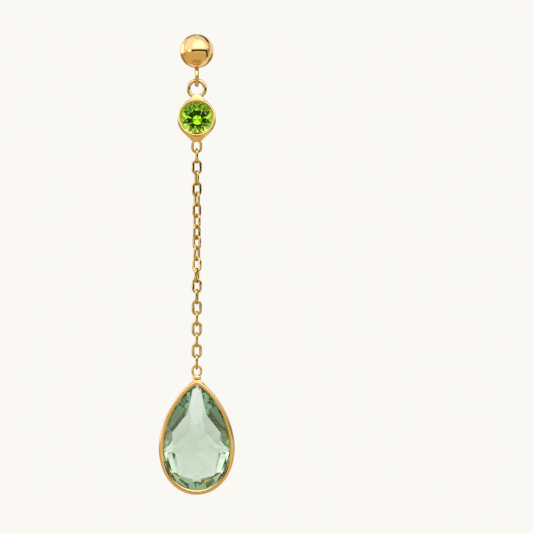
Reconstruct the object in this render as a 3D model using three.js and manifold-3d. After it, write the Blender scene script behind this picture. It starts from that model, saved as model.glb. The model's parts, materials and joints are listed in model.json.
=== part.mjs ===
// A ball-stud drop earring in yellow gold, in millimetres, +Z up.
//
// A 4 mm ball on a friction post carries an open jump ring. From it hangs a 4 mm round
// peridot in a bezel, then a fine cable chain, then a large faceted pear of green quartz
// in a bezel of its own. The origin is on the post's axis, where the post leaves the ball
// and the ear lobe sits. +Y runs along the post, away from the face of the earring, and
// -Z is the way that the drop hangs.

import * as THREE from 'three';
import { mergeVertices } from 'three/addons/utils/BufferGeometryUtils.js';
import Module from 'manifold-3d';

const wasm = await Module();
wasm.setup();

// ---- Driving dimensions ----------------------------------------------------------------

const { clamp, degToRad, lerp } = THREE.MathUtils;

// Everything hangs in one plane, under the middle of the ball.
const HANG_Y = -2.3;

// The ball is a sphere in front, and narrows in a cone behind from `coneAngle` to a collar.
const BALL = { radius: 2, coneAngle: degToRad(45), collarRadius: 0.47 };
const POST = { radius: 0.35, length: 9.1, bevel: 0.12 };
const POST_GROOVE = { radius: 0.25, start: 7.5, end: 8.06 };

// The jump rings: middle radius, wire radius and height of the middle. The ball's own is open.
const BALL_RING = { radius: 0.97, wire: 0.22, z: -3.03 };
const RING_CUT = { width: 0.12, angle: degToRad(-12) };
const TOP_RING = { radius: 0.97, wire: 0.2, z: -4.41 };

// The round peridot leans, its foot forward. Depths run backwards from the middle of its band.
const PERIDOT = {
  place: new THREE.Vector3(0, -2.9, -7.94),
  lean: degToRad(-4),
  radius: 2,
  tableRadius: 1.12,
  tableDepth: -0.5,
  girdleFront: 0.2,
  girdleBack: 0.28,
  pavilionAngle: degToRad(45),
};

// The peridot's bezel: its outer radius, its opening in front and its front and back edges.
const BEZEL = { radius: 2.27, opening: 1.9, front: -0.55, back: 0.5, bevel: 0.12, clearance: 0.06 };

// The loop under the peridot slants back to the hanging plane.
const LOWER_LOOP = { radius: 0.49, wire: 0.145, stretch: 0.25, slant: degToRad(23.6) };

// The chain: its links stand a quarter turn apart, and its upper links twist by one more.
const CHAIN = { links: 20, perStretch: 4, top: -11.7, pitch: 1.294, width: 1.2, wire: 0.135 };
const TWIST = { total: Math.PI / 2, links: 15 };

// Links of one stretch run into each other by `bite`, and separate wires keep a gap.
const CHAIN_BITE = 0.03;
const WIRE_GAP = 0.06;

// The loop on top of the pear's bezel.
const PEAR_LOOP = { radius: 0.49, wire: 0.135, stretch: 0.125 };

// The pear's outline: half its height, its width factor and the height of its middle.
const PEAR = { halfHeight: 6.75, width: 5.18, z: -45.45, widthPerInset: 1.09 };
const BAND = { halfDepth: 0.8, lip: 0.56, lipThickness: 0.06, bevel: 0.14 };
const GIRDLE_GROOVE = { inset: 0.34, halfDepth: 0.55 };

// Drops of solder, as half-sizes and a place: under the ball, and above and below each setting.
const SOLDER = {
  ball: { halfSizes: [0.3, 0.75, 0.35], place: [0, HANG_Y, -2] },
  aboveBezel: { halfSizes: [0.66, 0.32, 0.34], place: [0, -2.45, -5.62] },
  belowBezel: { halfSizes: [0.55, 0.42, 0.55], place: [0, -2.95, -10.4] },
  abovePear: { halfSizes: [0.62, 0.42, 0.36], place: [0, 0, 6.83] },
};

// The stone's girdle, the steep edge that rises from it, and the height of its widest part.
const STONE = { girdleInset: 0.42, girdleHalfDepth: 0.42, edgeRise: 8, waist: -0.6 };

// The stone's two domes: height, and how each one bulges and falls away towards tip and foot.
const DOMES = {
  front: { side: -1, height: 2.8, tip: { bulge: 2.6, fall: 1.4 }, foot: { bulge: 2.6, fall: 0.6 } },
  back: { side: 1, height: 2.62, tip: { bulge: 2, fall: 1.6 }, foot: { bulge: 1.7, fall: 1 } },
};

// Rings of lozenge flats on a dome: how far out each ring lies, its number of flats and half-step.
const EDGE_RING = { fraction: 0.99, count: 24, phase: 0.5 };
const LOZENGE_RINGS = [
  { fraction: 0.87, count: 16, phase: 0.5 },
  { fraction: 0.68, count: 16, phase: 0 },
  { fraction: 0.47, count: 8, phase: 0.5 },
  { fraction: 0.28, count: 8, phase: 0 },
];

// How finely round things are divided.
const FACETS = { ball: 32, ballArc: 12, bezel: 40, pear: 60, ring: 24, wire: 8, link: 14, linkWire: 6 };
const SOLDER_FACETS = { around: 14, up: 8 };

// ---- Materials -------------------------------------------------------------------------

function finish(name, color, metalness, roughness) {
  return new THREE.MeshStandardMaterial({ name, color, metalness, roughness });
}

const gold = finish('gold', 0xe6bd66, 1, 0.18);
const peridot = finish('peridot', 0x8dbb2c, 0, 0.05);
const quartz = finish('green_quartz', 0xb9cfba, 0, 0.05);

// ---- Solids ----------------------------------------------------------------------------

// A closed three.js geometry as a solid, whichever way round its faces were wound.
function solidOf(geometry) {
  const bare = geometry.clone();
  bare.deleteAttribute('normal');
  bare.deleteAttribute('uv');
  const merged = mergeVertices(bare, 1e-5);
  const positions = new Float32Array(merged.attributes.position.array);
  const corners = [0, 1, 2].map(() => new THREE.Vector3());
  const triangles = [];
  let volume = 0;
  for (let i = 0; i < merged.index.count; i += 3) {
    const face = [0, 1, 2].map((k) => merged.index.getX(i + k));
    if (new Set(face).size < 3) continue;
    face.forEach((vertex, k) => corners[k].fromArray(positions, 3 * vertex));
    volume += corners[0].dot(corners[1].clone().cross(corners[2]));
    triangles.push(face);
  }
  const outward = volume < 0 ? triangles.map((face) => face.toReversed()) : triangles;
  return new wasm.Manifold(
    new wasm.Mesh({ numProp: 3, vertProperties: positions, triVerts: new Uint32Array(outward.flat()) }),
  );
}

// Joins several geometries or solids into one.
function join(...pieces) {
  const solids = pieces.map((piece) => (piece instanceof THREE.BufferGeometry ? solidOf(piece) : piece));
  return solids.reduce((whole, solid) => whole.add(solid));
}

// A named mesh with flat faces, made from a solid.
function meshOf(name, solid, material) {
  const { vertProperties, triVerts } = solid.getMesh();
  const geometry = new THREE.BufferGeometry();
  geometry.setAttribute('position', new THREE.BufferAttribute(new Float32Array(vertProperties), 3));
  geometry.setIndex(new THREE.BufferAttribute(new Uint32Array(triVerts), 1));
  geometry.computeVertexNormals();
  const mesh = new THREE.Mesh(geometry, material);
  mesh.name = name;
  return mesh;
}

// An oval ring of round wire in the XZ plane: two half rings, `stretch` above and below its middle.
function ovalRing({ radius, wire, stretch = 0 }, sides = FACETS.wire, steps = FACETS.ring) {
  const ring = new THREE.TorusGeometry(radius, wire, sides, steps);
  ring.rotateZ(Math.PI / steps);
  const position = ring.attributes.position;
  for (let i = 0; i < position.count; i += 1) {
    const y = position.getY(i);
    position.setY(i, y + Math.sign(y) * stretch);
  }
  ring.rotateX(Math.PI / 2);
  return ring;
}

// A drop of solder: a sphere stretched to half-sizes x, y and z, with its middle at a place.
function solder({ halfSizes, place }) {
  const drop = new THREE.SphereGeometry(1, SOLDER_FACETS.around, SOLDER_FACETS.up);
  drop.scale(...halfSizes);
  drop.translate(...place);
  return drop;
}

// A body turned about the Y axis from a profile of [radius, y] rows.
function turned(profile, steps) {
  return new THREE.LatheGeometry(profile.map(([radius, y]) => new THREE.Vector2(radius, y)), steps);
}

// ---- Stud ------------------------------------------------------------------------------

function studProfile() {
  const profile = [[0, HANG_Y - BALL.radius]];
  for (let i = 1; i <= FACETS.ballArc; i += 1) {
    const angle = lerp(-Math.PI / 2, BALL.coneAngle, i / FACETS.ballArc);
    profile.push([BALL.radius * Math.cos(angle), HANG_Y + BALL.radius * Math.sin(angle)]);
  }
  const { radius, length, bevel } = POST;
  profile.push(
    [BALL.collarRadius, -bevel / 2],
    [radius, bevel],
    [radius, POST_GROOVE.start],
    [POST_GROOVE.radius, POST_GROOVE.start + bevel],
    [POST_GROOVE.radius, POST_GROOVE.end - bevel],
    [radius, POST_GROOVE.end],
    [radius, length - radius],
    [radius * Math.SQRT1_2, length - radius * (1 - Math.SQRT1_2)],
    [0, length],
  );
  return profile;
}

function makeStud() {
  const cut = new THREE.BoxGeometry(1, 1, RING_CUT.width);
  cut.translate(0, BALL_RING.radius, 0);
  cut.rotateX(RING_CUT.angle);
  const ring = ovalRing(BALL_RING);
  ring.rotateZ(Math.PI / 2);
  const openRing = solidOf(ring).subtract(solidOf(cut)).translate(0, HANG_Y, BALL_RING.z);
  return meshOf('stud', join(turned(studProfile(), FACETS.ball), openRing, solder(SOLDER.ball)), gold);
}

// ---- Peridot ---------------------------------------------------------------------------

// The bezel wraps the girdle in a groove and leaves the pavilion open behind.
function makePeridotBezel() {
  const { radius, opening, front, back, bevel, clearance } = BEZEL;
  const { girdleFront, girdleBack } = PERIDOT;
  const groove = PERIDOT.radius + clearance;
  const profile = [
    [opening + bevel / 2, front],
    [radius - bevel, front],
    [radius, front + 2 * bevel],
    [radius, back - bevel],
    [radius - bevel, back],
    [opening, back],
    [groove, girdleBack + clearance],
    [groove, girdleFront - clearance],
    [opening, girdleFront - 2.5 * clearance],
    [opening + bevel / 2, front],
  ];
  const bezel = turned(profile, FACETS.bezel);
  bezel.rotateX(PERIDOT.lean);
  bezel.translate(...PERIDOT.place.toArray());
  return bezel;
}

// Where the lower loop's middle lies, so that the chain's first link hangs in its bottom wire.
function lowerLoopPlace() {
  const wireZ = linkTopZ(0) - LOWER_LOOP.wire - CHAIN.wire - WIRE_GAP;
  const reach = LOWER_LOOP.radius + LOWER_LOOP.stretch;
  const { slant } = LOWER_LOOP;
  return [0, HANG_Y - reach * Math.sin(slant), wireZ + reach * Math.cos(slant)];
}

function makePeridotSetting() {
  const topRing = ovalRing(TOP_RING);
  topRing.translate(0, HANG_Y, TOP_RING.z);
  const lowerLoop = ovalRing(LOWER_LOOP);
  lowerLoop.rotateX(LOWER_LOOP.slant);
  lowerLoop.translate(...lowerLoopPlace());
  const drops = [solder(SOLDER.aboveBezel), solder(SOLDER.belowBezel)];
  return meshOf('peridot_setting', join(makePeridotBezel(), topRing, lowerLoop, ...drops), gold);
}

// A half-space as a unit normal and how far along it the flat lies.
function flat(normal, point) {
  const unit = normal.clone().normalize();
  return { normal: unit, offset: unit.dot(point) };
}

// Grinds flats on a rough stone: each one takes off what lies past it.
function grind(rough, flats) {
  return flats.reduce(
    (stone, { normal, offset }) => stone.trimByPlane(normal.clone().negate().toArray(), -offset),
    rough,
  );
}

// One ring of equal flats round the Y axis, through a circle of the given radius at depth y.
function flatsRound(count, phase, slope, radius, y) {
  const flats = [];
  for (let i = 0; i < count; i += 1) {
    const turn = ((i + phase) * 2 * Math.PI) / count;
    const outward = new THREE.Vector3(Math.sin(turn), 0, Math.cos(turn));
    const normal = outward.clone().multiplyScalar(Math.sin(Math.abs(slope)));
    normal.y = Math.sign(slope) * Math.cos(slope);
    flats.push(flat(normal, outward.multiplyScalar(radius).setY(y)));
  }
  return flats;
}

// A round brilliant: a table, crown mains, stars and girdle flats, and the pavilion's own.
function makePeridotStone() {
  const { radius, tableRadius, tableDepth, girdleFront, girdleBack, pavilionAngle } = PERIDOT;
  const crownAngle = Math.atan((girdleFront - tableDepth) / (radius - tableRadius));
  const culet = girdleBack + radius * Math.tan(pavilionAngle);
  const sides = 32;
  const rough = new THREE.CylinderGeometry(radius, radius, culet - tableDepth, sides);
  rough.rotateY(Math.PI / sides);
  rough.translate(0, (culet + tableDepth) / 2, 0);
  const flats = [
    ...flatsRound(8, 0, -crownAngle, radius, girdleFront),
    ...flatsRound(8, 0.5, degToRad(13) - crownAngle, tableRadius, tableDepth),
    ...flatsRound(16, 0.5, -degToRad(6) - crownAngle, radius, girdleFront),
    ...flatsRound(8, 0, pavilionAngle, radius, girdleBack),
    ...flatsRound(16, 0.5, pavilionAngle + degToRad(2), radius, girdleBack),
  ];
  const stone = meshOf('peridot_stone', grind(solidOf(rough), flats), peridot);
  stone.position.copy(PERIDOT.place);
  stone.rotation.x = PERIDOT.lean;
  return stone;
}

// ---- Chain -----------------------------------------------------------------------------

// Half the distance between the middles of a link's top and bottom wire.
const LINK_REACH = (CHAIN.pitch - CHAIN_BITE) / 2 + CHAIN.wire;

// The height of a link's middle: where a new stretch starts, the wires part by a small gap.
function linkZ(index) {
  const partings = Math.floor(index / CHAIN.perStretch);
  return CHAIN.top - CHAIN.pitch * (index + 0.5) + partings * (WIRE_GAP + CHAIN_BITE);
}

function linkTopZ(index) {
  return linkZ(index) + LINK_REACH;
}

function linkTurn(index) {
  const twist = TWIST.total * Math.min((index + 1) / TWIST.links, 1);
  return (index + 1) * (Math.PI / 2) + twist;
}

function makeLink(index) {
  const radius = CHAIN.width / 2 - CHAIN.wire;
  const oval = { radius, wire: CHAIN.wire, stretch: LINK_REACH - radius };
  const link = ovalRing(oval, FACETS.linkWire, FACETS.link);
  link.rotateZ(linkTurn(index));
  link.translate(0, 0, linkZ(index));
  return link;
}

function makeChain() {
  const chain = new THREE.Group();
  chain.position.set(0, HANG_Y, 0);
  for (let first = 0; first < CHAIN.links; first += CHAIN.perStretch) {
    const links = [];
    for (let index = first; index < first + CHAIN.perStretch; index += 1) {
      links.push(makeLink(index));
    }
    chain.add(meshOf(`chain_stretch_${first / CHAIN.perStretch + 1}`, join(...links), gold));
  }
  return chain;
}

// ---- Pear drop -------------------------------------------------------------------------

// A point of the pear's outline, `inset` inside it. The turn runs from the tip at the top.
function pearPoint(turn, inset) {
  const width = PEAR.width - PEAR.widthPerInset * inset;
  const height = PEAR.halfHeight - inset;
  const narrowing = Math.sqrt(Math.abs(Math.sin(turn / 2)));
  return new THREE.Vector2(width * Math.sin(turn) * narrowing, height * Math.cos(turn));
}

// A closed ring that follows the pear's outline, from a profile of [inset, y] rows.
function pearRing(profile) {
  const base = 10;
  const ring = turned(profile.map(([inset, y]) => [base - inset, y]), FACETS.pear);
  const position = ring.attributes.position;
  for (let i = 0; i < position.count; i += 1) {
    const inset = base - Math.hypot(position.getX(i), position.getZ(i));
    const point = pearPoint(Math.atan2(position.getX(i), position.getZ(i)), inset);
    position.setXYZ(i, point.x, position.getY(i), point.y);
  }
  return ring;
}

// The height of the pear loop's middle over the pear's own middle.
function pearLoopHeight() {
  const hangZ = linkZ(CHAIN.links - 1) - LINK_REACH;
  const wireZ = hangZ + CHAIN.wire + PEAR_LOOP.wire + WIRE_GAP;
  return wireZ - PEAR_LOOP.radius - PEAR_LOOP.stretch - PEAR.z;
}

// The band has a groove inside for the stone's girdle, under a lip in front and one behind.
function makePearSetting() {
  const { halfDepth, lip, lipThickness, bevel } = BAND;
  const behind = [
    [0, halfDepth - 2 * bevel],
    [bevel, halfDepth],
    [lip - bevel, halfDepth],
    [lip, halfDepth - lipThickness],
    [GIRDLE_GROOVE.inset, GIRDLE_GROOVE.halfDepth],
  ];
  const inFront = behind.map(([inset, y]) => [inset, -y]).reverse();
  const band = pearRing([...behind, ...inFront, behind[0]]);
  const loop = ovalRing(PEAR_LOOP);
  loop.translate(0, 0, pearLoopHeight());
  const setting = meshOf('pear_setting', join(band, loop, solder(SOLDER.abovePear)), gold);
  setting.position.set(0, HANG_Y, PEAR.z);
  return setting;
}

// How far out the point (x, z) lies: 0 at the stone's waist and 1 on its girdle.
function pearFraction(x, z) {
  const halfHeight = PEAR.halfHeight - STONE.girdleInset;
  const steps = 40;
  let low = 0;
  let high = 2;
  for (let i = 0; i < steps; i += 1) {
    const fraction = (low + high) / 2;
    const up = (z - STONE.waist * (1 - fraction)) / fraction;
    const turn = Math.acos(clamp(up / halfHeight, -1, 1));
    const halfWidth = pearPoint(turn, STONE.girdleInset).x;
    if (Math.abs(up) <= halfHeight && Math.abs(x) / fraction <= halfWidth) high = fraction;
    else low = fraction;
  }
  return high;
}

// The height of a dome over the stone's middle plane, at the point (x, z).
function domeHeight({ height, tip, foot }, x, z) {
  const fraction = pearFraction(x, z);
  const towardsTip = (1 + Math.cos(Math.atan2(x, z - STONE.waist))) / 2;
  const bulge = lerp(foot.bulge, tip.bulge, towardsTip);
  const fall = lerp(foot.fall, tip.fall, towardsTip);
  return STONE.girdleHalfDepth + (height - STONE.girdleHalfDepth) * (1 - fraction ** bulge) ** fall;
}

// The height of the steep edge that rises from the girdle, at the point (x, z).
function edgeHeight(x, z) {
  return STONE.girdleHalfDepth + (1 - pearFraction(x, z)) * STONE.edgeRise;
}

// One ring of flats that touch a surface, given as a height over each point (x, z).
function flatsOnSurface(surface, side, { fraction, count, phase }) {
  const step = 0.01;
  const flats = [];
  for (let i = 0; i < count; i += 1) {
    const rim = pearPoint(((i + phase) * 2 * Math.PI) / count, STONE.girdleInset);
    const x = rim.x * fraction;
    const z = rim.y * fraction + STONE.waist * (1 - fraction);
    const slopeX = (surface(x + step, z) - surface(x - step, z)) / (2 * step);
    const slopeZ = (surface(x, z + step) - surface(x, z - step)) / (2 * step);
    const touch = new THREE.Vector3(x, side * surface(x, z), z);
    flats.push(flat(new THREE.Vector3(-slopeX, side, -slopeZ), touch));
  }
  return flats;
}

// All the flats of one dome: its middle, its edge and the lozenges between.
function domeFlats(dome) {
  const { side, height } = dome;
  const surface = (x, z) => domeHeight(dome, x, z);
  return [
    flat(new THREE.Vector3(0, side, 0), new THREE.Vector3(0, side * height, 0)),
    ...flatsOnSurface(edgeHeight, side, EDGE_RING),
    ...LOZENGE_RINGS.flatMap((ring) => flatsOnSurface(surface, side, ring)),
  ];
}

function makePearStone() {
  const outline = new THREE.Shape();
  for (let i = 0; i < FACETS.pear; i += 1) {
    const point = pearPoint((i * 2 * Math.PI) / FACETS.pear, STONE.girdleInset);
    if (i === 0) outline.moveTo(point.x, point.y);
    else outline.lineTo(point.x, point.y);
  }
  const depth = DOMES.front.height + DOMES.back.height;
  const rough = new THREE.ExtrudeGeometry(outline, { depth, bevelEnabled: false, steps: 1 });
  rough.rotateX(Math.PI / 2);
  rough.translate(0, DOMES.back.height, 0);
  const flats = [...domeFlats(DOMES.front), ...domeFlats(DOMES.back)];
  const stone = meshOf('pear_stone', grind(solidOf(rough), flats), quartz);
  stone.position.set(0, HANG_Y, PEAR.z);
  return stone;
}

// ---- Assembly --------------------------------------------------------------------------

const earring = new THREE.Group();
earring.name = 'drop_earring';
earring.add(makeStud());
earring.add(makePeridotSetting());
earring.add(makePeridotStone());
earring.add(makeChain());
earring.add(makePearSetting());
earring.add(makePearStone());

export default earring;
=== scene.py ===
"""Looks of a ball-stud drop earring in yellow gold, with a round peridot and a pear of green quartz.

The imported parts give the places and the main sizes. Each piece is modelled in millimetres in the
row's own frame (+Y along the ear post, +Z up), and is put in metres as it is finished.
"""

import json
import logging
import math
from collections.abc import Callable, Iterable, Sequence
from dataclasses import dataclass
from enum import Enum

import bmesh
import bpy
from mathutils import Matrix, Vector

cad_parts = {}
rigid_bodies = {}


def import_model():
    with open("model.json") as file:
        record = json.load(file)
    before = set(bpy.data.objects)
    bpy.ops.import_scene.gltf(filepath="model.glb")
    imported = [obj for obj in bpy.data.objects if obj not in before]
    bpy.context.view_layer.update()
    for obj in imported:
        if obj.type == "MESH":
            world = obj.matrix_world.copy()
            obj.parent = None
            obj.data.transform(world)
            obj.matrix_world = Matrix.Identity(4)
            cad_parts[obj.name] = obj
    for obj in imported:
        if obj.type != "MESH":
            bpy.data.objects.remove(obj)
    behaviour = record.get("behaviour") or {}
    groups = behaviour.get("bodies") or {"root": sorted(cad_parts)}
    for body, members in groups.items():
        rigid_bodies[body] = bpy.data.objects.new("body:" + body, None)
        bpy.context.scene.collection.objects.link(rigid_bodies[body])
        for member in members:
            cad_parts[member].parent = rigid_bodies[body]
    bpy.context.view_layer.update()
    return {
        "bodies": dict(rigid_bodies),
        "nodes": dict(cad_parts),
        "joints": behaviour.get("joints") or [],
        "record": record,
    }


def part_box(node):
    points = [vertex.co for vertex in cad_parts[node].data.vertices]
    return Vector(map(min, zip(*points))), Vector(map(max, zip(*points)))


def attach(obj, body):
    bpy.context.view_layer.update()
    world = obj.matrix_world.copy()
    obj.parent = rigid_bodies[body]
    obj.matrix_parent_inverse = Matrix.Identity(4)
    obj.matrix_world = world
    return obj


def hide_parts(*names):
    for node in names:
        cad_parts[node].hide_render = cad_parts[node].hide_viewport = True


log = logging.getLogger("drop_earring")

MM = 0.001
FULL_TURN = 2 * math.pi
WELD = 1e-5

Colour = tuple[float, float, float]
Flat = tuple[Vector, Vector]
Profile = Sequence[tuple[float, float]]


class Body(Enum):
    """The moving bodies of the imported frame."""

    STUD = "stud"
    DANGLE = "dangle"
    PEAR_DROP = "pear_drop"


class Slot(Enum):
    """The record's material slots."""

    GOLD = "gold"
    PERIDOT = "peridot"
    QUARTZ = "green_quartz"


class Shading(Enum):
    """How a finished piece's faces are shaded."""

    POLISHED = "polished"
    FACETED = "faceted"


class Seen(Enum):
    """What a panel of the light tent shows in."""

    METAL = "metal"
    STONES = "stones"


class Hub(Enum):
    """What a panel of the light tent is hung round."""

    BALL = "ball"
    PERIDOT = "peridot"


# ---- Frame ---------------------------------------------------------------------------------


def box_mm(node: str) -> tuple[Vector, Vector]:
    """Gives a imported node's box in millimetres.

    Args:
        node: the node's name.

    Returns:
        The lowest and the highest corner.
    """
    low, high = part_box(node)
    return low / MM, high / MM


def hinge_mm(frame: dict, name: str) -> Vector:
    """Gives the place of a joint's axis in millimetres.

    Args:
        name: the joint's name.

    Returns:
        A point on the joint's axis.
    """
    joint = next(j for j in frame["joints"] if j["name"] == name)
    return Vector(joint["pos_m"]) / MM


# ---- Modelling -----------------------------------------------------------------------------


def turned(profile: Profile, steps: int, closed: bool = False) -> bmesh.types.BMesh:
    """Turns a profile round the Y axis.

    Args:
        profile: rows of (radius, y).
        steps: the number of sections in the full turn.
        closed: whether the profile's last point joins its first.

    Returns:
        The turned shell.
    """
    bm = bmesh.new()
    verts = [bm.verts.new((radius, y, 0)) for radius, y in profile]
    edges = [bm.edges.new(pair) for pair in zip(verts, verts[1:])]
    if closed:
        edges.append(bm.edges.new((verts[-1], verts[0])))
    bmesh.ops.spin(
        bm,
        geom=verts + edges,
        cent=(0, 0, 0),
        axis=(0, 1, 0),
        angle=FULL_TURN,
        steps=steps,
        use_merge=True,
    )
    bmesh.ops.remove_doubles(bm, verts=bm.verts, dist=WELD)
    return bm


@dataclass(frozen=True)
class WireRing:
    """An oval ring of wire in the XZ plane, its faces cut flat. Sizes in millimetres."""

    radius: float
    wire: float
    stretch: float = 0.0
    flat: float = math.inf
    sides: int = 20
    steps: int = 64

    def build(self, opening: float = 0.0) -> bmesh.types.BMesh:
        """Bends the wire round the Y axis and draws the ring out along Z.

        Args:
            opening: the angle that an open ring lacks, centred on +X.

        Returns:
            The ring, round its own middle.
        """
        bm = bmesh.new()
        start = opening / 2 if opening else math.pi / self.steps
        place = Matrix.Rotation(-start, 4, "Y") @ Matrix.Translation((self.radius, 0, 0))
        bmesh.ops.create_circle(bm, segments=self.sides, radius=self.wire, matrix=place)
        for vert in bm.verts:
            vert.co.y = max(-self.flat, min(self.flat, vert.co.y))
        bmesh.ops.spin(
            bm,
            geom=bm.verts[:] + bm.edges[:],
            cent=(0, 0, 0),
            axis=(0, 1, 0),
            angle=opening - FULL_TURN,
            steps=self.steps,
            use_merge=not opening,
        )
        if opening:
            ends = [edge for edge in bm.edges if edge.is_boundary]
            bmesh.ops.holes_fill(bm, edges=ends, sides=self.sides)
        for sign in (-1, 1):
            half = [vert for vert in bm.verts if vert.co.z * sign > 0]
            bmesh.ops.translate(bm, verts=half, vec=(0, 0, sign * self.stretch))
        return bm


def drop_of_solder(half_sizes: Sequence[float], place: Sequence[float]) -> bmesh.types.BMesh:
    """Makes a smooth drop of solder.

    Args:
        half_sizes: its half-sizes along X, Y and Z.
        place: its middle.

    Returns:
        The drop.
    """
    bm = bmesh.new()
    bmesh.ops.create_uvsphere(bm, u_segments=40, v_segments=24, radius=1)
    bmesh.ops.scale(bm, vec=half_sizes, verts=bm.verts)
    bmesh.ops.translate(bm, vec=place, verts=bm.verts)
    return bm


def fillet(rows: Profile, depth: float, place: Vector) -> bmesh.types.BMesh:
    """Makes a flattened fillet of solder between a ring and a setting.

    Args:
        rows: its outline, as (half-width, height) from one end to the other.
        depth: its half-thickness where it is wide.
        place: where height 0 lies.

    Returns:
        The fillet.
    """
    bm = turned(rows, steps=64)
    moved(bm, Matrix.Rotation(math.pi / 2, 4, "X"))
    for vert in bm.verts:
        vert.co.y = depth * math.tanh(vert.co.y / 2 / depth)
    bmesh.ops.translate(bm, vec=place, verts=bm.verts)
    return bm


def soften(bm: bmesh.types.BMesh, width: float, angle: float = math.radians(24)) -> None:
    """Rounds every edge that is sharper than an angle.

    Args:
        bm: the piece.
        width: how far the rounding reaches from the edge.
        angle: the smallest angle between faces that counts as sharp.
    """
    sharp = [edge for edge in bm.edges if edge.is_manifold and edge.calc_face_angle() > angle]
    bmesh.ops.bevel(
        bm,
        geom=sharp,
        offset=width,
        segments=3,
        profile=0.5,
        affect="EDGES",
        material=-1,
        clamp_overlap=True,
    )


def flat_at(normal: Vector, point: Vector) -> Flat:
    """Gives a flat by its outward normal and a point on it."""
    return normal.normalized(), point


def grind(bm: bmesh.types.BMesh, flats: Iterable[Flat]) -> None:
    """Grinds flats on a rough stone: each takes off what lies past it.

    Args:
        bm: the closed rough.
        flats: the flats, each with its outward normal.
    """
    for normal, point in flats:
        whole = bm.verts[:] + bm.edges[:] + bm.faces[:]
        cut = bmesh.ops.bisect_plane(
            bm, geom=whole, dist=WELD, plane_co=point, plane_no=normal, clear_outer=True
        )
        rim = [item for item in cut["geom_cut"] if isinstance(item, bmesh.types.BMEdge)]
        if rim:
            bmesh.ops.edgeloop_fill(bm, edges=rim)


def moved(bm: bmesh.types.BMesh, matrix: Matrix) -> bmesh.types.BMesh:
    """Moves a whole bmesh by a matrix and gives it back."""
    bmesh.ops.transform(bm, matrix=matrix, verts=bm.verts)
    return bm


def new_object(name: str, bm: bmesh.types.BMesh, material: bpy.types.Material) -> bpy.types.Object:
    """Makes an object of a shell and puts it in the scene.

    Args:
        name: the name of the object and its mesh.
        bm: the shell, in metres. It is freed.
        material: its only material.

    Returns:
        The object, at the origin.
    """
    mesh = bpy.data.meshes.new(name)
    bm.to_mesh(mesh)
    bm.free()
    mesh.materials.append(material)
    obj = bpy.data.objects.new(name, mesh)
    bpy.context.scene.collection.objects.link(obj)
    return obj


@dataclass(frozen=True)
class Piece:
    """A finished piece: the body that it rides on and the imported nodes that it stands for."""

    name: str
    body: Body
    slot: Slot
    replaces: tuple[str, ...]
    shading: Shading = Shading.POLISHED
    crease: float = math.radians(38)

    def settle(self, bm: bmesh.types.BMesh, material: bpy.types.Material) -> None:
        """Puts the piece in metres, shades it, dresses it and hands it to the frame.

        Args:
            bm: the modelled shell, in millimetres. It is freed.
            material: the piece's finish.
        """
        bmesh.ops.recalc_face_normals(bm, faces=bm.faces)
        bmesh.ops.scale(bm, vec=(MM, MM, MM), verts=bm.verts)
        for face in bm.faces:
            face.smooth = self.shading is Shading.POLISHED
        for edge in bm.edges:
            edge.smooth = edge.is_manifold and edge.calc_face_angle() < self.crease
        obj = new_object(self.name, bm, material)
        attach(obj, self.body.value)
        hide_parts(*self.replaces)
        log.info("%s: %d faces on body %s", self.name, len(obj.data.polygons), self.body.value)


@dataclass(frozen=True)
class GoldWork:
    """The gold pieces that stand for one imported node."""

    body: Body
    node: str

    def add(self, name: str, bm: bmesh.types.BMesh, gold: bpy.types.Material) -> None:
        """Settles one piece of the gold work."""
        Piece(name, self.body, Slot.GOLD, (self.node,)).settle(bm, gold)


# ---- Finishes ------------------------------------------------------------------------------


def new_material(name: str) -> tuple[bpy.types.Material, bpy.types.NodeTree]:
    """Makes a material with nodes.

    Args:
        name: the material's name.

    Returns:
        The material and its node tree.
    """
    material = bpy.data.materials.new(name)
    material.use_nodes = True
    return material, material.node_tree


@dataclass(frozen=True)
class GoldFinish:
    """Yellow gold whose polishing waves mix in a deeper colour, which in ring and cable gold is partly a
    darker metal and partly painted shade. Sizes in millimetres.
    """

    name: str
    colour: Colour = (0.89, 0.61, 0.29)
    deep_colour: Colour = (0.85, 0.57, 0.25)
    roughness: tuple[float, float] = (0.05, 0.1)
    # edge_colour tints reflection at grazing angles: white for bare gold, dark where it paints shade on
    # the rims.
    edge_colour: Colour = (1.0, 1.0, 1.0)
    wave_size: float = 0.9
    wave_depth: float = 0.0012
    wave_detail: float = 3.0

    def material(self) -> bpy.types.Material:
        """Builds the gold from noise on Object coordinates.

        Returns:
            The material.
        """
        material, tree = new_material(self.name)
        nodes, links = tree.nodes, tree.links
        shader = nodes["Principled BSDF"]
        shader.inputs["Metallic"].default_value = 1.0
        # The edge colour tints reflection at grazing angles; where it is dark it is painted shade on the
        # rims.
        shader.inputs["Specular Tint"].default_value = (*self.edge_colour, 1)
        place = nodes.new("ShaderNodeTexCoord")
        cloud = nodes.new("ShaderNodeTexNoise")
        cloud.inputs["Scale"].default_value = 1 / (self.wave_size * MM)
        cloud.inputs["Detail"].default_value = self.wave_detail
        links.new(place.outputs["Object"], cloud.inputs["Vector"])
        # The waves mix in the deep colour, which in ring and cable gold is partly painted shade.
        tint = nodes.new("ShaderNodeMix")
        tint.data_type = "RGBA"
        tint.inputs["A"].default_value = (*self.deep_colour, 1)
        tint.inputs["B"].default_value = (*self.colour, 1)
        links.new(cloud.outputs["Fac"], tint.inputs["Factor"])
        links.new(tint.outputs["Result"], shader.inputs["Base Color"])
        haze = nodes.new("ShaderNodeMapRange")
        haze.inputs["To Min"].default_value = self.roughness[0]
        haze.inputs["To Max"].default_value = self.roughness[1]
        links.new(cloud.outputs["Fac"], haze.inputs["Value"])
        links.new(haze.outputs["Result"], shader.inputs["Roughness"])
        bump = nodes.new("ShaderNodeBump")
        bump.inputs["Distance"].default_value = self.wave_depth * MM
        links.new(cloud.outputs["Fac"], bump.inputs["Height"])
        links.new(bump.outputs["Normal"], shader.inputs["Normal"])
        return material


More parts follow.
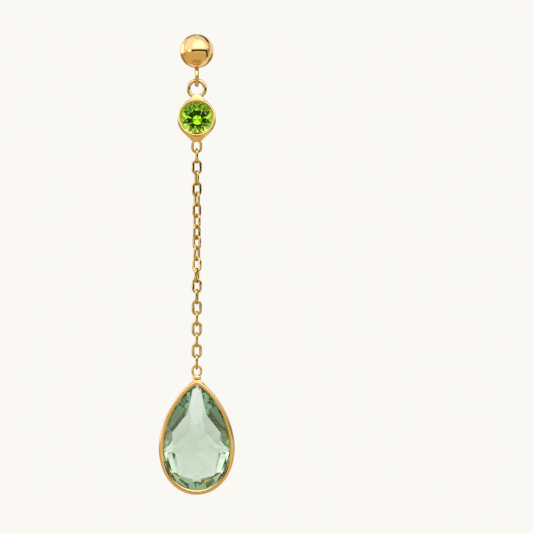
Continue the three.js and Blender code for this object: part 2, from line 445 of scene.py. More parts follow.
@dataclass(frozen=True)
class StoneFinish:
    """A clear cut stone that takes its colour from the length of light's way through it.

    A faint darker tint, painted shade, drifts over it at random, and its polish varies a little.
    Sizes are in millimetres, and the density of its colour is per metre.
    """

    name: str
    ior: float
    absorbed: Colour
    density: float
    painted_shade: Colour
    painted_shade_size: float = 2.4
    painted_shade_range: tuple[float, float] = (0.35, 0.65)
    painted_shade_detail: float = 3.0
    painted_shade_swirl: float = 1.2
    polish: tuple[float, float] = (0.0, 0.012)
    polish_size: float = 0.8

    def material(self) -> bpy.types.Material:
        """Builds the clear surface and the colour inside.

        Returns:
            The material.
        """
        material, tree = new_material(self.name)
        nodes, links = tree.nodes, tree.links
        shader = nodes["Principled BSDF"]
        shader.inputs["IOR"].default_value = self.ior
        shader.inputs["Transmission Weight"].default_value = 1.0
        place = nodes.new("ShaderNodeTexCoord")
        drift = nodes.new("ShaderNodeTexNoise")
        drift.inputs["Scale"].default_value = 1 / (self.painted_shade_size * MM)
        drift.inputs["Detail"].default_value = self.painted_shade_detail
        drift.inputs["Distortion"].default_value = self.painted_shade_swirl
        links.new(place.outputs["Object"], drift.inputs["Vector"])
        shape = nodes.new("ShaderNodeMapRange")
        shape.inputs["From Min"].default_value = self.painted_shade_range[0]
        shape.inputs["From Max"].default_value = self.painted_shade_range[1]
        links.new(drift.outputs["Fac"], shape.inputs["Value"])
        # Painted shade: the noise mixes a darker tint into the stone's colour at random.
        tint = nodes.new("ShaderNodeMix")
        tint.data_type = "RGBA"
        tint.inputs["A"].default_value = (1, 1, 1, 1)
        tint.inputs["B"].default_value = (*self.painted_shade, 1)
        links.new(shape.outputs["Result"], tint.inputs["Factor"])
        links.new(tint.outputs["Result"], shader.inputs["Base Color"])
        cloud = nodes.new("ShaderNodeTexNoise")
        cloud.inputs["Scale"].default_value = 1 / (self.polish_size * MM)
        links.new(place.outputs["Object"], cloud.inputs["Vector"])
        haze = nodes.new("ShaderNodeMapRange")
        haze.inputs["To Min"].default_value = self.polish[0]
        haze.inputs["To Max"].default_value = self.polish[1]
        links.new(cloud.outputs["Fac"], haze.inputs["Value"])
        links.new(haze.outputs["Result"], shader.inputs["Roughness"])
        inside = nodes.new("ShaderNodeVolumeAbsorption")
        inside.inputs["Color"].default_value = (*self.absorbed, 1)
        inside.inputs["Density"].default_value = self.density
        links.new(inside.outputs["Volume"], nodes["Material Output"].inputs["Volume"])
        return material


# Painted shade: a dark brown edge colour that darkens the grazing rims of the ring and chain wires.
RIM_SHADE = (0.3, 0.2, 0.1)
POLISHED_GOLD = GoldFinish("polished_gold")
# Ring and cable gold: the dark deep colour that the waves mix in is partly a darker metal and partly
# painted shade on the thin wires.
RING_GOLD = GoldFinish(
    "ring_gold", (0.88, 0.66, 0.29), (0.6, 0.42, 0.16), (0.06, 0.16), edge_colour=RIM_SHADE, wave_size=0.35
)
CABLE_GOLD = GoldFinish(
    "cable_gold", (0.94, 0.71, 0.3), (0.42, 0.29, 0.1), (0.05, 0.18), edge_colour=RIM_SHADE, wave_size=0.22
)
PERIDOT_FINISH = StoneFinish(
    "clear_peridot",
    ior=1.67,
    absorbed=(0.72, 0.853, 0.2),
    density=1000,
    painted_shade=(0.92, 0.94, 0.9),
    painted_shade_size=0.8,
)
QUARTZ_FINISH = StoneFinish(
    "clear_green_quartz", ior=1.55, absorbed=(0.15, 0.5, 0.18), density=95, painted_shade=(0.82, 0.87, 0.84)
)


# ---- Stud ----------------------------------------------------------------------------------


@dataclass
class Stud:
    """The ball on its friction post, with the open ring under it. Sizes in millimetres."""

    ball_radius: float
    ball_y: float
    post_tip: float
    ring_foot: Vector
    post_radius: float = 0.35
    collar_radius: float = 0.47
    cone_angle: float = math.radians(45)
    groove: tuple[float, float, float] = (0.25, 7.5, 8.06)
    edge: float = 0.12
    ring: WireRing = WireRing(0.97, 0.22)
    ring_gap: float = 0.04
    ring_gap_angle: float = math.radians(-12)
    solder: tuple[float, float, float] = (0.2, 0.6, 0.2)

    @classmethod
    def from_frame(cls, frame: dict) -> "Stud":
        """Takes the ball, the post and the ring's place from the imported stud.


        Returns:
            The stud.
        """
        low, high = box_mm("stud")
        radius = high.x
        return cls(radius, low.y + radius, high.y, hinge_mm(frame, "dangle_swing"))

    def profile(self) -> Profile:
        """Gives the outline of ball, cone, post and grooved tip.

        Returns:
            Its rows of (radius, y).
        """
        arc_steps = 40
        rows = [(0.0, self.ball_y - self.ball_radius)]
        for step in range(1, arc_steps + 1):
            angle = -math.pi / 2 + (self.cone_angle + math.pi / 2) * step / arc_steps
            out = self.ball_radius * math.cos(angle)
            rows.append((out, self.ball_y + self.ball_radius * math.sin(angle)))
        radius, edge = self.post_radius, self.edge
        groove_radius, groove_start, groove_end = self.groove
        rows += [
            (self.collar_radius, -edge / 2),
            (radius + edge / 3, 0),
            (radius, edge),
            (radius, groove_start),
            (groove_radius, groove_start + edge),
            (groove_radius, groove_end - edge),
            (radius, groove_end),
        ]
        tip_steps = 8
        for step in range(tip_steps):
            angle = math.pi / 2 * step / tip_steps
            rows.append((radius * math.cos(angle), self.post_tip - radius * (1 - math.sin(angle))))
        rows.append((0.0, self.post_tip))
        return rows

    def build(self, gold: bpy.types.Material, ring_gold: bpy.types.Material) -> None:
        """Builds the ball with its post, the open ring and the solder between them.

        Args:
            gold: the ball's finish.
            ring_gold: the ring's finish.
        """
        work = GoldWork(Body.STUD, "stud")
        work.add("ball_and_post", turned(self.profile(), steps=96), gold)
        ring = self.ring.build(opening=self.ring_gap / self.ring.radius)
        middle = self.ring_foot + Vector((0, 0, self.ring.radius))
        upright = Matrix.Rotation(math.pi / 2, 4, "Z")
        turn = Matrix.Rotation(self.ring_gap_angle, 4, "X")
        work.add("ball_ring", moved(ring, Matrix.Translation(middle) @ turn @ upright), ring_gold)
        work.add("ball_solder", drop_of_solder(self.solder, (0, self.ball_y, -self.ball_radius)), gold)


# ---- Peridot -------------------------------------------------------------------------------


@dataclass
class PeridotDrop:
    """The round brilliant in its bezel, with a ring above and a slanted loop below."""

    hang: Vector
    foot: float
    place: Vector
    radius: float = 2.0
    lean: float = math.radians(-4)
    stone_lean: float = math.radians(-1.6)
    table_radius: float = 1.12
    table_depth: float = -0.5
    star_ease: float = math.radians(13)
    girdle: tuple[float, float] = (0.2, 0.28)
    girdle_ease: float = math.radians(6)
    pavilion_angle: float = math.radians(45)
    pavilion_ease: float = math.radians(2)
    culet_angle: float = math.radians(42)
    culet_flat: float = 0.1
    bezel_radius: float = 2.27
    bezel_front: float = -0.55
    bezel_back: float = 0.5
    bezel_edge: float = 0.12
    opening: float = 1.9
    seat_gap: float = 0.06
    top_ring: WireRing = WireRing(0.97, 0.225)
    lower_loop: WireRing = WireRing(0.49, 0.145, stretch=0.25)
    slant: float = math.radians(23.6)
    top_fillet: Profile = (
        (0, 2.02),
        (1.28, 1.93),
        (1.32, 1.96),
        (1.05, 2.1),
        (0.82, 2.26),
        (0.68, 2.44),
        (0.6, 2.64),
        (0.48, 2.72),
        (0, 2.74),
    )
    foot_fillet: Profile = (
        (0, -2.03),
        (1.38, -1.78),
        (1.44, -1.8),
        (1.1, -2.13),
        (0.8, -2.4),
        (0.64, -2.6),
        (0.5, -2.74),
        (0, -2.78),
    )
    fillet_depth: float = 0.3
    top_fillet_y: float = 0.38
    foot_fillet_y: float = -0.06

    @classmethod
    def from_frame(cls, frame: dict) -> "PeridotDrop":
        """Takes the setting's height and the stone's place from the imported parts.


        Returns:
            The drop.
        """
        setting_low, setting_high = box_mm("peridot_setting")
        stone_low, stone_high = box_mm("peridot_stone")
        hang = hinge_mm(frame, "dangle_swing")
        reach = cls.table_depth * math.cos(cls.lean) + cls.table_radius * math.sin(cls.lean)
        rise = sum(cls.girdle) / 2 * math.sin(cls.lean)
        place = Vector((0, stone_low.y - reach, (stone_low.z + stone_high.z) / 2 - rise))
        return cls(Vector((0, hang.y, setting_high.z)), setting_low.z, place)

    def tilted(self, lean: float) -> Matrix:
        """Gives the place of the bezel or its stone at a lean."""
        return Matrix.Translation(self.place) @ Matrix.Rotation(lean, 4, "X")

    def bezel(self) -> bmesh.types.BMesh:
        """Turns the bezel, with a groove for the girdle and the pavilion open behind.

        Returns:
            The bezel, in its place.
        """
        gap, edge = self.seat_gap, self.bezel_edge
        groove = self.radius + gap
        front, back = self.bezel_front, self.bezel_back
        profile = [
            (self.opening + gap, front),
            (self.bezel_radius - edge, front),
            (self.bezel_radius - 0.03, front + 0.14),
            (self.bezel_radius, front + 0.32),
            (self.bezel_radius, back - edge),
            (self.bezel_radius - edge, back),
            (self.opening, back),
            (groove, self.girdle[1] + gap),
            (groove, self.girdle[0] - gap),
            (self.opening, self.girdle[0] - 2.5 * gap),
        ]
        bm = turned(profile, steps=128, closed=True)
        soften(bm, width=0.025)
        return moved(bm, self.tilted(self.lean))

    def flats_round(self, count: int, phase: float, slope: float, radius: float, y: float) -> list[Flat]:
        """Gives one ring of equal flats.

        Args:
            count: how many flats.
            phase: the first one's turn, in parts of their spacing.
            slope: their angle from the girdle's plane, below 0 in front.
            radius: the radius at which they pass depth y.
            y: that depth.

        Returns:
            The flats.
        """
        flats = []
        for index in range(count):
            turn = (index + phase) * FULL_TURN / count
            outward = Vector((math.sin(turn), 0, math.cos(turn)))
            normal = outward * math.sin(abs(slope))
            normal.y = math.copysign(math.cos(slope), slope)
            flats.append(flat_at(normal, outward * radius + Vector((0, y, 0))))
        return flats

    def stone(self) -> bmesh.types.BMesh:
        """Cuts a round brilliant: crown mains, stars, girdle flats, pavilion and the flats round its tip.

        Returns:
            The stone, in its place.
        """
        crown = math.atan((self.girdle[0] - self.table_depth) / (self.radius - self.table_radius))
        culet = self.girdle[1] + self.radius * math.tan(self.pavilion_angle)
        sides = 64
        bm = bmesh.new()
        bmesh.ops.create_cone(
            bm,
            cap_ends=True,
            segments=sides,
            radius1=self.radius,
            radius2=self.radius,
            depth=culet - self.table_depth,
            matrix=Matrix.Translation((0, (culet + self.table_depth) / 2, 0))
            @ Matrix.Rotation(math.pi / 2, 4, "X")
            @ Matrix.Rotation(math.pi / sides, 4, "Z"),
        )
        front_girdle, back_girdle = self.girdle
        steep = self.pavilion_angle + self.pavilion_ease
        flats = [
            *self.flats_round(8, 0, -crown, self.radius, front_girdle),
            *self.flats_round(8, 0.5, self.star_ease - crown, self.table_radius, self.table_depth),
            *self.flats_round(16, 0.5, -self.girdle_ease - crown, self.radius, front_girdle),
            *self.flats_round(8, 0, self.pavilion_angle, self.radius, back_girdle),
            *self.flats_round(16, 0.5, steep, self.radius, back_girdle),
            *self.flats_round(8, 0.5, self.culet_angle, 0, culet - self.culet_flat),
        ]
        grind(bm, flats)
        return moved(bm, self.tilted(self.stone_lean))

    def build(
        self, gold: bpy.types.Material, ring_gold: bpy.types.Material, peridot: bpy.types.Material
    ) -> None:
        """Builds the setting's pieces and the stone.

        Args:
            gold: the bezel's finish.
            ring_gold: the finish of the ring and the loop.
            peridot: the stone's finish.
        """
        work = GoldWork(Body.DANGLE, "peridot_setting")
        work.add("peridot_bezel", self.bezel(), gold)
        ring_z = self.hang.z - self.top_ring.wire - self.top_ring.radius
        ring = moved(self.top_ring.build(), Matrix.Translation((0, self.hang.y, ring_z)))
        work.add("peridot_ring", ring, ring_gold)
        reach = self.lower_loop.radius + self.lower_loop.stretch
        loop_z = self.foot + self.lower_loop.wire + reach * math.cos(self.slant)
        loop_y = self.hang.y - reach * math.sin(self.slant)
        slanted = Matrix.Translation((0, loop_y, loop_z)) @ Matrix.Rotation(self.slant, 4, "X")
        work.add("peridot_loop", moved(self.lower_loop.build(), slanted), ring_gold)
        above = self.place + Vector((0, self.top_fillet_y, 0))
        work.add("peridot_top_solder", fillet(self.top_fillet, self.fillet_depth, above), gold)
        below = self.place + Vector((0, self.foot_fillet_y, 0))
        work.add("peridot_foot_solder", fillet(self.foot_fillet, self.fillet_depth, below), gold)
        stone = Piece("peridot_brilliant", Body.DANGLE, Slot.PERIDOT, ("peridot_stone",), Shading.FACETED)
        stone.settle(self.stone(), peridot)


# ---- Chain ---------------------------------------------------------------------------------


@dataclass
class Chain:
    """The cable chain: each link stands across the last, and the upper links twist slowly."""

    hang_y: float
    middles: list[float]
    replaced: list[str]
    link: WireRing = WireRing(0.435, 0.165, stretch=0.32, flat=0.135, sides=16, steps=32)
    twist_links: int = 15
    twist: float = math.pi / 2

    @classmethod
    def from_frame(cls, frame: dict, links: int = 20, half_link: float = 0.902) -> "Chain":
        """Works out each link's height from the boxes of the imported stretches.

        Args:
            links: the number of links.
            half_link: half the height of a packed link.

        Returns:
            The chain.
        """
        names = sorted(name for name in frame["nodes"] if name.startswith("chain_stretch"))
        per_stretch = links // len(names)
        middles, replaced = [], []
        for name in names:
            low, high = box_mm(name)
            top, foot = high.z - half_link, low.z + half_link
            for step in range(per_stretch):
                middles.append(top + (foot - top) * step / (per_stretch - 1))
                replaced.append(name)
        return cls(hinge_mm(frame, "pear_swing").y, middles, replaced)

    def turn(self, index: int) -> float:
        """Gives the turn of a link about the chain's line."""
        twisted = self.twist * min((index + 1) / self.twist_links, 1)
        return (index + 1) * math.pi / 2 + twisted

    def build(self, gold: bpy.types.Material) -> None:
        """Builds every link, with the bright flats that diamond cutting leaves.

        Args:
            gold: the finish.
        """
        for index, (middle, replaced) in enumerate(zip(self.middles, self.replaced)):
            place = Matrix.Translation((0, self.hang_y, middle))
            link = moved(self.link.build(), place @ Matrix.Rotation(self.turn(index), 4, "Z"))
            GoldWork(Body.DANGLE, replaced).add(f"chain_link_{index + 1:02d}", link, gold)


# ---- Pear drop -----------------------------------------------------------------------------


@dataclass(frozen=True)
class PearOutline:
    """The pear's outline in the XZ plane, round its own middle, in millimetres."""

    half_height: float = 6.75
    width: float = 5.18
    width_per_inset: float = 1.09

    def point(self, turn: float, inset: float) -> tuple[float, float]:
        """Gives a point of the outline.

        Args:
            turn: the angle from the tip.
            inset: how far inside the outline.

        Returns:
            Its x and z.
        """
        narrowing = math.sqrt(abs(math.sin(turn / 2)))
        x = (self.width - self.width_per_inset * inset) * math.sin(turn) * narrowing
        return x, (self.half_height - inset) * math.cos(turn)

    def fraction(self, x: float, z: float, inset: float, waist: float) -> float:
        """Tells how far out a point lies: 0 at the waist's middle and 1 on the inset outline.

        Args:
            x: the point's place across.
            z: the point's place up.
            inset: how far the outline lies inside the full one.
            waist: how high the waist lies.

        Returns:
            The fraction, found by halving.
        """
        half_height = self.half_height - inset
        low, high = 0.0, 2.0
        halvings = 40
        for _ in range(halvings):
            fraction = (low + high) / 2
            up = (z - waist * (1 - fraction)) / fraction
            turn = math.acos(max(-1.0, min(1.0, up / half_height)))
            inside = abs(up) <= half_height and abs(x) / fraction <= self.point(turn, inset)[0]
            low, high = (low, fraction) if inside else (fraction, high)
        return high


@dataclass(frozen=True)
class Fall:
    """How a dome falls away in one direction: (1 - out ** bulge) ** power of its height is left."""

    bulge: float
    power: float


@dataclass(frozen=True)
class FlatRing:
    """A ring of flats on a dome: how far out it lies, and their turns from the tip in degrees.

    A turn stands for the two flats to the left and the right of the stone's middle line.
    """

    fraction: float
    turns: tuple[float, ...]


FRONT_RINGS = (FlatRing(0.88, (54, 90, 126, 162)), FlatRing(0.55, (0, 72, 144)))
BACK_RINGS = (
    FlatRing(0.9, (34, 50, 79, 101, 124, 146, 169)),
    FlatRing(0.75, (58, 90, 126, 162)),
    FlatRing(0.45, (0, 72, 144)),
)
EDGE_RING = FlatRing(0.99, tuple(15 * (step + 0.5) for step in range(12)))


@dataclass(frozen=True)
class Dome:
    """One side of the pear stone, side -1 in front and 1 behind, cut with lozenge flats."""

    outline: PearOutline
    side: int
    height: float
    tip: Fall
    flank: Fall
    foot: Fall
    rings: tuple[FlatRing, ...]
    girdle_inset: float = 0.42
    girdle_half_depth: float = 0.42
    edge_rise: float = 8.0
    waist: float = -0.6

    def out(self, x: float, z: float) -> float:
        """Tells how far out a point lies, from 0 at the waist to 1 on the girdle."""
        return self.outline.fraction(x, z, self.girdle_inset, self.waist)

    def surface(self, x: float, z: float) -> float:
        """Gives the dome's height over the stone's middle plane.

        Args:
            x: a point's place across.
            z: its place up.

        Returns:
            The height there.
        """
        up = math.cos(math.atan2(x, z - self.waist))
        end = self.tip if up > 0 else self.foot
        bulge = self.flank.bulge + (end.bulge - self.flank.bulge) * up * up
        power = self.flank.power + (end.power - self.flank.power) * up * up
        dome = max(0.0, 1 - self.out(x, z) ** bulge) ** power
        return self.girdle_half_depth + (self.height - self.girdle_half_depth) * dome

    def edge(self, x: float, z: float) -> float:
        """Gives the height of the steep edge that rises from the girdle."""
        return self.girdle_half_depth + (1 - self.out(x, z)) * self.edge_rise

    def touching(self, surface: Callable[[float, float], float], ring: FlatRing) -> list[Flat]:
        """Gives a ring of flats that touch a surface.

        Args:
            surface: the surface's height over each point.
            ring: where the flats touch it.

        Returns:
            The flats.
        """
        step = 0.01
        flats = []
        mirrored = [-turn for turn in ring.turns if 0 < turn < 180]
        for turn in (*ring.turns, *mirrored):
            rim_x, rim_z = self.outline.point(math.radians(turn), self.girdle_inset)
            x = rim_x * ring.fraction
            z = rim_z * ring.fraction + self.waist * (1 - ring.fraction)
            slope_x = (surface(x + step, z) - surface(x - step, z)) / (2 * step)
            slope_z = (surface(x, z + step) - surface(x, z - step)) / (2 * step)
            touch = Vector((x, self.side * surface(x, z), z))
            flats.append(flat_at(Vector((-slope_x, self.side, -slope_z)), touch))
        return flats

    def flats(self) -> list[Flat]:
        """Gives all the flats of this side.

        Returns:
            The middle's, the edge's and the lozenges between.
        """
        middle = flat_at(Vector((0, self.side, 0)), Vector((0, self.side * self.height, 0)))
        found = [middle, *self.touching(self.edge, EDGE_RING)]
        for ring in self.rings:
            found += self.touching(self.surface, ring)
        return found


@dataclass
class PearDrop:
    """The pear of green quartz in its band, with the loop that hangs it."""

    middle: Vector
    loop_top: float
    outline: PearOutline
    half_depth: float
    loop: WireRing = WireRing(0.49, 0.135, stretch=0.125)
    lip: float = 0.56
    groove: tuple[float, float] = (0.34, 0.55)
    neck: Profile = (
        (0, -0.75),
        (0.95, -0.62),
        (1.0, -0.52),
        (0.72, -0.28),
        (0.52, -0.04),
        (0.46, 0.14),
        (0.5, 0.28),
        (0.46, 0.4),
        (0.3, 0.48),
        (0, 0.5),
    )
    neck_depth: float = 0.4

    @classmethod
    def from_frame(cls, frame: dict) -> "PearDrop":
        """Takes the band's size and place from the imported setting.


        Returns:
            The drop.
        """
        low, high = box_mm("pear_setting")
        outline = PearOutline()
        widest = max(outline.point(math.radians(turn), 0)[0] for turn in range(180))
        outline = PearOutline(width=outline.width * high.x / widest)
        hang_y = hinge_mm(frame, "pear_swing").y
        middle = Vector((0, hang_y, low.z + outline.half_height))
        return cls(middle, high.z, outline, (high.y - low.y) / 2)

    def band(self) -> bmesh.types.BMesh:
        """Turns the band's section, rows of (inset, y), and bends it to the pear's outline.

        Returns:
            The band, in its place.
        """
        half = self.half_depth
        rows = [
            (0.01, 0.0),
            (0.015, half * 0.4),
            (0.03, half * 0.52),
            (0.055, half * 0.57),
            (0.035, half * 0.63),
            (0.035, half * 0.74),
            (0.06, half * 0.85),
            (0.11, half * 0.94),
            (0.18, half * 0.985),
            (0.28, half),
            (0.4, half * 0.985),
            (0.5, half * 0.955),
            (self.lip, half * 0.92),
            self.groove,
        ]
        profile = rows + [(inset, -y) for inset, y in reversed(rows[1:])]
        base = 10.0
        bm = turned([(base - inset, y) for inset, y in profile], steps=240, closed=True)
        for vert in bm.verts:
            inset = base - math.hypot(vert.co.x, vert.co.z)
            x, z = self.outline.point(math.atan2(vert.co.x, vert.co.z), inset)
            vert.co = (x, vert.co.y, z)
        return moved(bm, Matrix.Translation(self.middle))

    def stone(self) -> bmesh.types.BMesh:
        """Cuts the double-sided pear from a pear-shaped block.

        Returns:
            The stone, in its place.
        """
        front = Dome(
            self.outline,
            side=-1,
            height=2.8,
            tip=Fall(2.6, 1.4),
            flank=Fall(3.1, 1),
            foot=Fall(2.6, 0.6),
            rings=FRONT_RINGS,
        )
        back = Dome(
            self.outline,
            side=1,
            height=2.62,
            tip=Fall(2.0, 1.6),
            flank=Fall(3.1, 1),
            foot=Fall(1.7, 1.25),
            rings=BACK_RINGS,
        )
        bm = bmesh.new()
        around = 120
        circle = bmesh.ops.create_circle(bm, cap_ends=True, segments=around, radius=1)
        for vert in circle["verts"]:
            turn = math.atan2(vert.co.x, vert.co.y)
            x, z = self.outline.point(turn, front.girdle_inset)
            vert.co = (x, -front.height, z)
        grown = bmesh.ops.extrude_face_region(bm, geom=bm.faces[:])
        far = [item for item in grown["geom"] if isinstance(item, bmesh.types.BMVert)]
        bmesh.ops.translate(bm, verts=far, vec=(0, front.height + back.height, 0))
        bmesh.ops.recalc_face_normals(bm, faces=bm.faces)
        grind(bm, front.flats() + back.flats())
        return moved(bm, Matrix.Translation(self.middle))

    def build(
        self, gold: bpy.types.Material, ring_gold: bpy.types.Material, quartz: bpy.types.Material
    ) -> None:
        """Builds the band, its loop and neck, and the stone.

        Args:
            gold: the band's finish.
            ring_gold: the loop's finish.
            quartz: the stone's finish.
        """
        work = GoldWork(Body.PEAR_DROP, "pear_setting")
        work.add("pear_band", self.band(), gold)
        loop_z = self.loop_top - self.loop.wire - self.loop.radius - self.loop.stretch
        loop = moved(self.loop.build(), Matrix.Translation((0, self.middle.y, loop_z)))
        work.add("pear_loop", loop, ring_gold)
        tip = self.middle + Vector((0, 0, self.outline.half_height))
        work.add("pear_neck", fillet(self.neck, self.neck_depth, tip), gold)
        stone = Piece("pear_quartz", Body.PEAR_DROP, Slot.QUARTZ, ("pear_stone",), Shading.FACETED)
        stone.settle(self.stone(), quartz)


# ---- Studio --------------------------------------------------------------------------------


WARM = (1.0, 0.97, 0.92)
BROWN = (1.0, 0.8, 0.4)
DEEP_BROWN = (1.0, 0.72, 0.26)
DUSK = (0.68, 1.0, 0.62)


def eased(value: float) -> float:
    """Clamps a value to 0 to 1 and eases it at both ends."""
    clamped = max(0.0, min(1.0, value))
    return clamped * clamped * (3 - 2 * clamped)


@dataclass(frozen=True)
class Panel:
    """A strip of the light tent, along the shortest arc between two directions.

    Directions are (azimuth, elevation) in degrees from the hub: azimuth 0 is towards the
    viewer and 90 towards +X. The strip's two edges and its softness are in degrees from the arc,
    and its distance from the hub is in metres.
    """

    name: str
    start: tuple[float, float]
    end: tuple[float, float]
    edges: tuple[float, float]
    radiance: float
    colour: Colour = WARM
    softness: float = 3.0
    distance: float = 0.42
    seen: Seen = Seen.METAL
    hub: Hub = Hub.BALL

    @staticmethod
    def direction(azimuth: float, elevation: float) -> Vector:
        """Gives the unit vector of a direction in degrees."""
        turn, rise = math.radians(azimuth), math.radians(elevation)
        return Vector((math.sin(turn) * math.cos(rise), -math.cos(turn) * math.cos(rise), math.sin(rise)))

    def shell(self) -> bmesh.types.BMesh:
        """Spins a row of points along the arc, with a "fade" layer that falls to 0 at the edges.

        Returns:
            The strip, round its hub.
        """
        step_degrees = 2
        start, end = self.direction(*self.start), self.direction(*self.end)
        axis = start.cross(end).normalized()
        length, soft = start.angle(end), math.radians(self.softness)
        low, high = (math.radians(edge) for edge in self.edges)
        bm = bmesh.new()
        fade = bm.verts.layers.float.new("fade")
        rows = max(4, round(math.degrees(high - low) / step_degrees))
        rises = [low + (high - low) * row / rows for row in range(rows + 1)]
        verts = [bm.verts.new((start * math.cos(r) + axis * math.sin(r)) * self.distance) for r in rises]
        edges = [bm.edges.new(pair) for pair in zip(verts, verts[1:])]
        steps = max(4, round(math.degrees(length) / step_degrees))
        bmesh.ops.spin(
            bm, geom=verts + edges, cent=(0, 0, 0), axis=axis, angle=length, steps=steps, use_merge=False
        )
        across = axis.cross(start)
        for vert in bm.verts:
            along = math.atan2(vert.co.dot(across), vert.co.dot(start))
            rise = math.asin(max(-1.0, min(1.0, vert.co.dot(axis) / self.distance)))
            from_end, from_side = min(along, length - along), min(rise - low, high - rise)
            vert[fade] = eased(from_end / soft) * eased(from_side / soft)
        return bm

    def material(self) -> bpy.types.Material:
        """Builds an even glow that clears towards the strip's edges.

        Returns:
            The material.
        """
        material, tree = new_material(self.name)
        nodes, links = tree.nodes, tree.links
        nodes.remove(nodes["Principled BSDF"])
        glow = nodes.new("ShaderNodeEmission")
        glow.inputs["Color"].default_value = (*self.colour, 1)
        glow.inputs["Strength"].default_value = self.radiance
        fade = nodes.new("ShaderNodeAttribute")
        fade.attribute_name = "fade"
        mix = nodes.new("ShaderNodeMixShader")
        links.new(fade.outputs["Fac"], mix.inputs[0])
        links.new(nodes.new("ShaderNodeBsdfTransparent").outputs[0], mix.inputs[1])
        links.new(glow.outputs[0], mix.inputs[2])
        links.new(mix.outputs[0], nodes["Material Output"].inputs["Surface"])
        return material

    def build(self, centre: Vector) -> None:
        """Hangs the strip out of the camera's sight.

        Args:
            centre: the place of its hub, in metres.
        """
        obj = new_object(self.name, moved(self.shell(), Matrix.Translation(centre)), self.material())
        obj.visible_camera = False
        obj.visible_diffuse = False
        obj.visible_glossy = self.seen is Seen.METAL
        obj.visible_transmission = self.seen is Seen.STONES


PANELS = (
    Panel("seam_front", (-36, 1), (71, 2), (-8, 6), 0.01, softness=2, distance=0.4),
    Panel("seam_right", (69, 3), (91, -32), (-8, 7), 0.01, softness=2.5, distance=0.4),
    Panel("seam_back_left", (-147, 29), (179, 42), (-11, 11), 0.01, softness=4, distance=0.4),
    Panel("seam_back_right", (179, 42), (113, 34), (-11, 11), 0.01, softness=4, distance=0.4),
    Panel("gap_right", (113, 36), (91, -4), (-10, 10), 0.5, BROWN, softness=9, distance=0.41),
    Panel("gap_side", (72, 0), (101, 0), (-12, 15), 0.45, BROWN, softness=6, distance=0.41),
    # Painted shadow: a dim brown strip close behind and below, seen only in the metal, standing in for
    # the shadow on the surface behind.
    Panel("reflected_shadow_strip", (122, 0), (238, 0), (-34, -1.5), 0.35, BROWN, softness=1, distance=0.1),
    Panel("gap_left", (-113, 42), (-82, -12), (-5, 5), 0.5, BROWN, softness=4, distance=0.41),
    Panel("gap_left_foot", (-84, -14), (-148, -16), (-9, 5), 0.42, BROWN, softness=5, distance=0.41),
    Panel("spot_light", (-55, 0), (-44, 0), (-5, 5), 6.0, softness=2, distance=0.41),
    Panel("left_light", (-84, 0), (-140, 0), (-28, 9), 2.1, softness=9, distance=0.42),
    Panel("top_light", (-40, 0), (76, 0), (6, 80), 2.8, softness=36, distance=0.42),
    Panel("table_below", (0, -58), (180, -58), (-32, 32), 0.5, DEEP_BROWN, softness=20, distance=0.43),
    Panel("table_left", (-150, 0), (-20, 0), (-89, -2), 0.72, BROWN, softness=9, distance=0.44),
    Panel("table_right", (-40, 0), (112, 0), (-89, -2), 0.72, BROWN, softness=14, distance=0.45),
    Panel("top_fill_left", (-122, 0), (-10, 0), (3, 89), 1.3, softness=12, distance=0.46),
    Panel("top_fill_right", (-38, 0), (92, 0), (3, 89), 1.3, softness=14, distance=0.47),
    Panel("stone_shade", (-16, 0), (18, 0), (-20, 14), 0.07, DUSK, 2.5, 0.034, Seen.STONES, Hub.PERIDOT),
    *(
        Panel(f"stone_glow_{side}", start, end, edges, 3.2, WARM, 2.5, 0.035, Seen.STONES, Hub.PERIDOT)
        for side, start, end, edges in (
            ("left", (-24, 0), (-16, 0), (-28, 22)),
            ("right", (18, 0), (26, 0), (-28, 22)),
            ("top", (-16, 0), (18, 0), (14, 22)),
            ("foot", (-16, 0), (18, 0), (-28, -20)),
        )
    ),
    Panel("stone_dusk_below", (-90, 0), (90, 0), (-85, -30), 0.33, DUSK, 6, 0.44, Seen.STONES),
    Panel("stone_light_above", (-90, 0), (90, 0), (30, 85), 2.6, WARM, 6, 0.44, Seen.STONES),
)


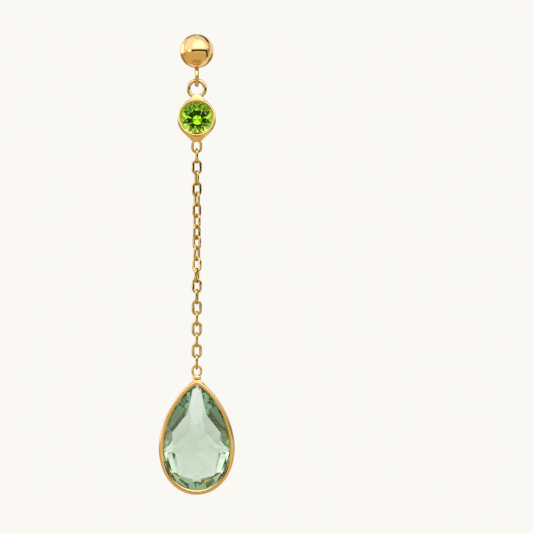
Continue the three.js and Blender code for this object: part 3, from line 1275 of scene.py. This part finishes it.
@dataclass
class Studio:
    """A pale floor that curves up all round, the tent's panels and the camera. Sizes in metres."""

    hubs: dict[Hub, Vector]
    floor_z: float = -0.5
    floor_radius: float = 0.5
    rim_radius: float = 0.85
    wall_height: float = 0.75
    floor_colour: Colour = (0.4, 0.39, 0.37)
    floor_glow_colour: Colour = (1.0, 0.995, 0.975)
    floor_glow: float = 0.58
    sky_colour: Colour = (1.0, 0.985, 0.96)
    sky_light: float = 0.95
    sensor: float = 36.0
    lens: float = 200.0
    frame_width: float = 0.0627
    aim: tuple[float, float, float] = (0.0082, -0.0023, -0.02535)
    bounces: int = 40

    def floor(self) -> None:
        """Builds the floor as a wide bowl."""
        bm = bmesh.new()
        bend = self.rim_radius - self.floor_radius
        bend_steps = 12
        rows = [(0.0, 0.0), (self.floor_radius, 0.0)]
        for step in range(1, bend_steps + 1):
            angle = math.pi / 2 * step / bend_steps
            rows.append((self.floor_radius + bend * math.sin(angle), bend * (1 - math.cos(angle))))
        rows.append((self.rim_radius, self.wall_height))
        verts = [bm.verts.new((out, 0, up)) for out, up in rows]
        edges = [bm.edges.new(pair) for pair in zip(verts, verts[1:])]
        bmesh.ops.spin(
            bm,
            geom=verts + edges,
            cent=(0, 0, 0),
            axis=(0, 0, 1),
            angle=FULL_TURN,
            steps=96,
            use_merge=True,
        )
        bmesh.ops.remove_doubles(bm, verts=bm.verts, dist=WELD)
        moved(bm, Matrix.Translation((0, 0, self.floor_z)))
        for face in bm.faces:
            face.smooth = True
        material, tree = new_material("pale_floor")
        shader = tree.nodes["Principled BSDF"]
        shader.inputs["Base Color"].default_value = (*self.floor_colour, 1)
        shader.inputs["Roughness"].default_value = 1.0
        shader.inputs["Specular IOR Level"].default_value = 0.0
        shader.inputs["Emission Color"].default_value = (*self.floor_glow_colour, 1)
        shader.inputs["Emission Strength"].default_value = self.floor_glow
        new_object("floor", bm, material)

    def world(self) -> None:
        """Fills the open top with soft light."""
        world = bpy.data.worlds.new("studio")
        world.use_nodes = True
        background = world.node_tree.nodes["Background"]
        background.inputs["Color"].default_value = (*self.sky_colour, 1)
        background.inputs["Strength"].default_value = self.sky_light
        bpy.context.scene.world = world

    def camera(self) -> None:
        """Sets the camera level, square to the earring's face."""
        data = bpy.data.cameras.new("camera")
        data.lens = self.lens
        data.sensor_width = self.sensor
        data.clip_start = 0.01
        data.clip_end = 10.0
        camera = bpy.data.objects.new("camera", data)
        distance = self.frame_width * self.lens / self.sensor
        camera.location = Vector(self.aim) - Vector((0, distance, 0))
        camera.rotation_euler = (math.pi / 2, 0, 0)
        bpy.context.scene.collection.objects.link(camera)
        bpy.context.scene.camera = camera

    def build(self) -> None:
        """Builds the floor, the world, the camera and the panels, and lets light pass the stones."""
        self.floor()
        self.world()
        self.camera()
        for panel in PANELS:
            panel.build(self.hubs[panel.hub])
        scene = bpy.context.scene
        scene.view_settings.view_transform = "Standard"
        scene.view_settings.look = "None"
        scene.cycles.max_bounces = self.bounces
        scene.cycles.glossy_bounces = self.bounces
        scene.cycles.transmission_bounces = self.bounces


def main() -> None:
    """Loads the frame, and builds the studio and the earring."""
    logging.basicConfig(level=logging.INFO, format="%(name)s: %(message)s")
    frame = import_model()
    peridot = PeridotDrop.from_frame(frame)
    ball = Vector((0, hinge_mm(frame, "dangle_swing").y, 0))
    Studio({Hub.BALL: ball * MM, Hub.PERIDOT: peridot.place * MM}).build()
    gold, ring_gold = POLISHED_GOLD.material(), RING_GOLD.material()
    Stud.from_frame(frame).build(gold, ring_gold)
    peridot.build(gold, ring_gold, PERIDOT_FINISH.material())
    Chain.from_frame(frame).build(CABLE_GOLD.material())
    PearDrop.from_frame(frame).build(gold, ring_gold, QUARTZ_FINISH.material())


if __name__ == "__main__":
    main()
